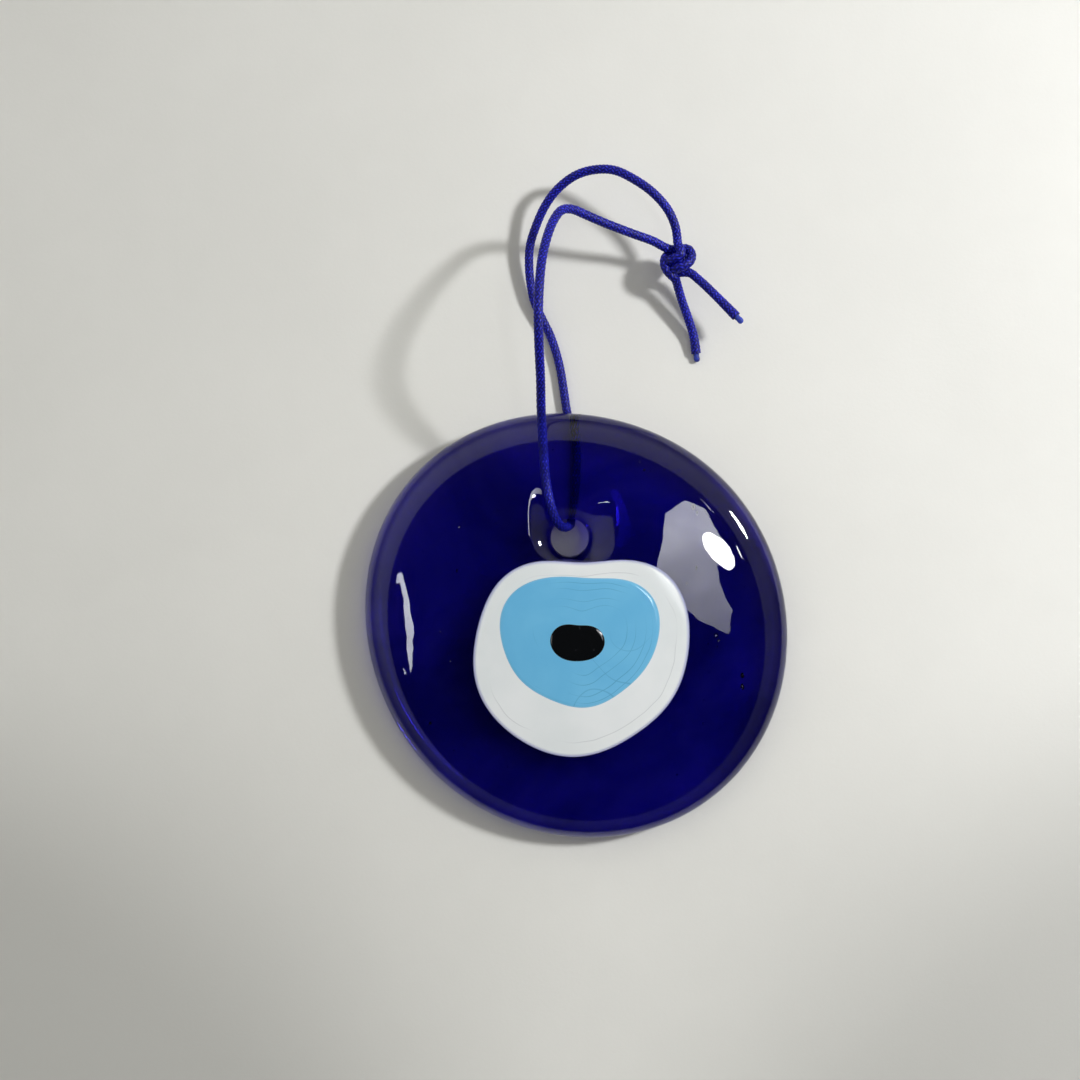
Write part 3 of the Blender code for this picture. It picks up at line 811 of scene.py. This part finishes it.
def braided_tube(name, line):
    """A closed braided tube along the line. It opens a little towards its far end."""
    count = len(line)
    along = [(line[min(i + 1, count - 1)] - line[max(i - 1, 0)]).normalized() for i in range(count)]
    side = along[0].orthogonal().normalized()
    runs = np.concatenate([[0], np.cumsum([(b - a).length for a, b in zip(line, line[1:])])])
    turns = np.arange(CORD_SIDES) / CORD_SIDES * 2 * np.pi
    rings, relief, lean = [], [], []
    for i in range(count):
        side = (side - along[i] * side.dot(along[i])).normalized()
        over = along[i].cross(side)
        high, way = braid_relief(turns, runs[i])
        left = runs[-1] - runs[i]
        open_up = 1 + (TAIL_FLARE - 1) * max(0.0, 1 - left / FLARE_LENGTH)
        in_knot = max(0.0, 1 - ((line[i] - KNOT_CENTRE).length / KNOT_REACH) ** 2)
        radius = CORD_RADIUS * open_up * (1 + KNOT_SWELL * in_knot) + BRAID_RELIEF * (high - 0.75)
        ring = [line[i] + (side * math.cos(t) + over * math.sin(t)) * r for t, r in zip(turns, radius)]
        rings.append(ring)
        relief.append(list(high))
        lean.append(list(way))
    for end, order in ((0, -1), (-1, 1)):
        middle, edge = line[end], rings[end]
        pushed = along[end] * order
        for share, ahead in ((0.93, 0.06), (0.75, 0.02), (0.4, -0.08)):
            ring = [middle + (p - middle) * share + pushed * ahead * MM for p in edge]
            low = [0.25 * share] * CORD_SIDES
            for rows, row in ((rings, ring), (relief, low), (lean, low)):
                rows.insert(0 if end == 0 else len(rows), row)
    return mesh_from_rings(name, rings, values={"relief": relief, "lean": lean})


def split_loop():
    """The loop's smooth line, cut in the bore into the front strand and the rear one."""
    dense = smooth_curve(route_points(LOOP_ROUTE))
    middle = route_points((SPLIT_POINT,))[0]
    nearest = min(range(len(dense)), key=lambda i: (dense[i] - middle).length)
    return dense[: nearest + 1], dense[nearest:]


def core_mesh(name, tail):
    """The melted core past a tail's end: a short stub with an uneven rounded tip."""
    ahead = (tail[-1] - tail[-6]).normalized()
    side = ahead.orthogonal().normalized()
    over = ahead.cross(side)
    first = tail[-1] - ahead * 0.5 * MM
    length = CORE_LENGTH + 0.8 * MM
    rings = []
    profile = ((0.0, 0.8), (0.15, 0.95), (0.35, 0.98), (0.5, 0.9), (0.62, 0.97), (0.76, 1.0),
               (0.87, 0.9), (0.94, 0.7), (0.985, 0.4), (1.0, 0.15))
    for share, width in profile:
        middle = first + ahead * length * share
        ring = []
        for k in range(20):
            turn = 2 * math.pi * k / 20
            out = side * math.cos(turn) + over * math.sin(turn)
            lump = 1 + 0.12 * noise.noise(Vector((math.cos(turn) * 1.3, math.sin(turn) * 1.3, share * 4)))
            ring.append(middle + out * CORE_RADIUS * width * lump)
        rings.append(ring)
    return mesh_from_rings(name, rings)


def knot_heart():
    """The turns pressed together inside the knot: one braided lump."""
    rings, relief, lean = [], [], []
    turns = np.arange(CORD_SIDES) / CORD_SIDES * 2 * np.pi
    for step in range(1, HEART_RINGS):
        tilt = math.pi * step / HEART_RINGS
        high, way = braid_relief(turns, tilt * HEART_SIZE.x)
        ring = []
        for turn, lift in zip(turns, high):
            x, y = math.sin(tilt) * math.cos(turn), math.sin(tilt) * math.sin(turn)
            heading = Vector((x, y, math.cos(tilt)))
            ring.append(KNOT_CENTRE + HEART_PLACE + HEART_SIZE * heading * (0.95 + 0.05 * float(lift)))
        rings.append(ring)
        relief.append(list(high))
        lean.append(list(way))
    return mesh_from_rings("knot_heart", rings, values={"relief": relief, "lean": lean})


def build_cord():
    """The front and the rear strand, each from the hole through the knot to its own cut end."""
    braid, core = blue_braid(), melted_core()
    front, rear = split_loop()
    front = [*reversed(front)]
    strands = (
        ("front_strand", front, FRONT_KNOT_ROUTE, LOWER_TAIL_ROUTE, "lower_tail_core",
         ("cord_front_strand", "cord_knot", "cord_lower_tail")),
        ("rear_strand", rear, REAR_KNOT_ROUTE, RIGHT_TAIL_ROUTE, "right_tail_core",
         ("cord_rear_strand", "cord_knot", "cord_right_tail")),
    )
    for name, loop, inside, tail, core_node, replaced in strands:
        last = smooth_curve([loop[-1], *knot_points(inside), *route_points(tail)])
        line = relaxed(even_points([*loop, *last[1:]], CORD_STEP))
        strand = add_object(name, braided_tube(name, line), braid, "cord", replaced)
        tip = core_mesh(core_node, line)
        stub = add_object(f"{core_node}_stub", tip, core, "cord", (core_node,))
        if name == "front_strand":
            add_object("knot_heart", knot_heart(), braid, "cord")


def build_glass():
    """The disc, its three eye layers and its bubbles, all seated on the cord."""
    body_mesh = disc_mesh("cobalt_glass")
    seat = seat_matrix(body_mesh)
    body_mesh.transform(seat)
    add_object("cobalt_glass", body_mesh, cobalt_glass(), "glass", ("cobalt_glass_body",))
    kinds = {
        "white_glass_layer": ("white_glass", white_glass),
        "light_blue_glass_iris": ("light_blue_glass", light_blue_glass),
        "black_glass_pupil": ("black_glass", black_glass),
    }
    for node, layer in LAYERS.items():
        made = layer_mesh(f"{node}_look", layer)
        made.transform(seat)
        slot, material = kinds[node]
        add_object(f"{node}_look", made, material(), "glass", (node,))
    air = bubbles_mesh("glass_bubbles")
    air.transform(seat)
    add_object("glass_bubbles", air, trapped_air(), "glass")


# ---------------------------------------------------------------- stage


def build_floor():
    mesh = bpy.data.meshes.new("floor")
    corners = [(x * TABLE_HALF, y * TABLE_HALF, 0) for x, y in ((-1, -1), (1, -1), (1, 1), (-1, 1))]
    mesh.from_pydata(corners, [], [(0, 1, 2, 3)])
    add_object("floor", mesh, paper())


def add_light(name, place, target, size, power):
    """A round area light that faces the target."""
    data = bpy.data.lights.new(name, "AREA")
    data.shape = "DISK"
    data.size = size
    data.energy = power
    light = bpy.data.objects.new(name, data)
    bpy.context.scene.collection.objects.link(light)
    light.location = place
    light.rotation_mode = "QUATERNION"
    light.rotation_quaternion = (Vector(target) - Vector(place)).to_track_quat("-Z", "Y")


def lamp_outline():
    """A tilted ellipse."""
    outline = []
    for step in range(24):
        turn = 2 * math.pi * step / 24
        along, across = LAMP_AXES[0] * math.cos(turn), LAMP_AXES[1] * math.sin(turn)
        x = LAMP_MIDDLE[0] + along * math.cos(LAMP_TURN) - across * math.sin(LAMP_TURN)
        y = LAMP_MIDDLE[1] + along * math.sin(LAMP_TURN) + across * math.cos(LAMP_TURN)
        outline.append((x, y))
    return outline


def strip_outline():
    """A long thin strip that bows to one side and narrows to both ends."""
    sides = ([], [])
    for step in range(13):
        share = step / 12
        swell = math.sin(math.pi * share)
        middle = STRIP_FAR[0] + STRIP_LEAN * share + STRIP_BOW * swell
        half = STRIP_END_HALF + STRIP_HALF_WIDTH * max(0.0, swell) ** 0.6
        y = STRIP_FAR[1] - STRIP_LENGTH * share
        sides[0].append((middle - half, y))
        sides[1].insert(0, (middle + half, y))
    return sides[0] + sides[1]


def add_patch(name, outline, lift, bright, dim, colour):
    """A flat glowing patch of the ceiling, bright at its far end and dim at its near one."""
    mesh = bpy.data.meshes.new(name)
    mesh.from_pydata([(x * MM, y * MM, CEILING - lift) for x, y in outline], [], [range(len(outline))])
    material, nodes = new_material(name)
    split = nodes.add("ShaderNodeSeparateXYZ", {}, {0: nodes.place()})
    near, far = (end(y for _, y in outline) * MM for end in (min, max))
    strength = nodes.ramp(split.outputs[1], near, far, dim, bright)
    cloud = nodes.ramp(nodes.noise(25.0, 2.0), 0.35, 0.65, 0.85, 1.1)
    inputs = {"Color": (*colour, 1.0), "Strength": nodes.math("MULTIPLY", strength, cloud)}
    glow = nodes.add("ShaderNodeEmission", {}, inputs)
    nodes.tree.links.new(glow.outputs[0], nodes.add("ShaderNodeOutputMaterial").inputs["Surface"])
    add_object(name, mesh, material)


def build_light():
    """A window light from the right, the ceiling's bright patches, and a room that is bright on its
    far and left sides and dark overhead."""
    add_light("window", (0.345, 0.16, 0.345), (0.0, 0.02, 0.0), 0.065, 1.8)
    add_patch("ceiling_panel", PANEL, 0.0, 8.5, 3.2, (0.96, 0.97, 1.0))
    add_patch("lamp", lamp_outline(), 2 * MM, 45.0, 40.0, (1.0, 1.0, 1.0))
    add_patch("left_strip", strip_outline(), 0.0, 10.0, 11.0, (0.95, 0.97, 1.0))
    world = bpy.data.worlds.new("room")
    bpy.context.scene.world = world
    world.use_nodes = True
    nodes = Nodes(world.node_tree)
    heading = nodes.add("ShaderNodeTexCoord").outputs["Generated"]
    x, y, z = nodes.add("ShaderNodeSeparateXYZ", {}, {0: heading}).outputs
    height = nodes.ramp(z, 0.1, 0.6, 0.3, 1.0)
    over = nodes.math("ADD", nodes.math("MULTIPLY", y, -0.28), nodes.math("MULTIPLY", z, 0.96))
    overhead = nodes.ramp(over, 0.885, 0.9, 1.0, 0.03)
    toward = nodes.math("ADD", nodes.math("MULTIPLY", x, -0.45), nodes.math("MULTIPLY", y, 0.9))
    sides = nodes.ramp(toward, -0.9, 1.1, 0.12, 0.85)
    strength = nodes.math("MULTIPLY", nodes.math("MULTIPLY", height, overhead), sides)
    inputs = {"Color": (1.0, 0.985, 0.9, 1.0), "Strength": strength}
    back = nodes.add("ShaderNodeBackground", {}, inputs)
    output = nodes.add("ShaderNodeOutputWorld")
    nodes.tree.links.new(back.outputs[0], output.inputs["Surface"])


def build_camera():
    data = bpy.data.cameras.new("camera")
    data.sensor_width = SENSOR
    data.lens = SENSOR * CAMERA_PLACE.z / VIEW_WIDTH
    data.clip_start = 0.01
    camera = bpy.data.objects.new("camera", data)
    bpy.context.scene.collection.objects.link(camera)
    camera.location = CAMERA_PLACE
    bpy.context.scene.camera = camera


build_camera()
build_cord()
build_glass()
build_floor()
build_light()
bpy.context.scene.view_settings.view_transform = "Standard"
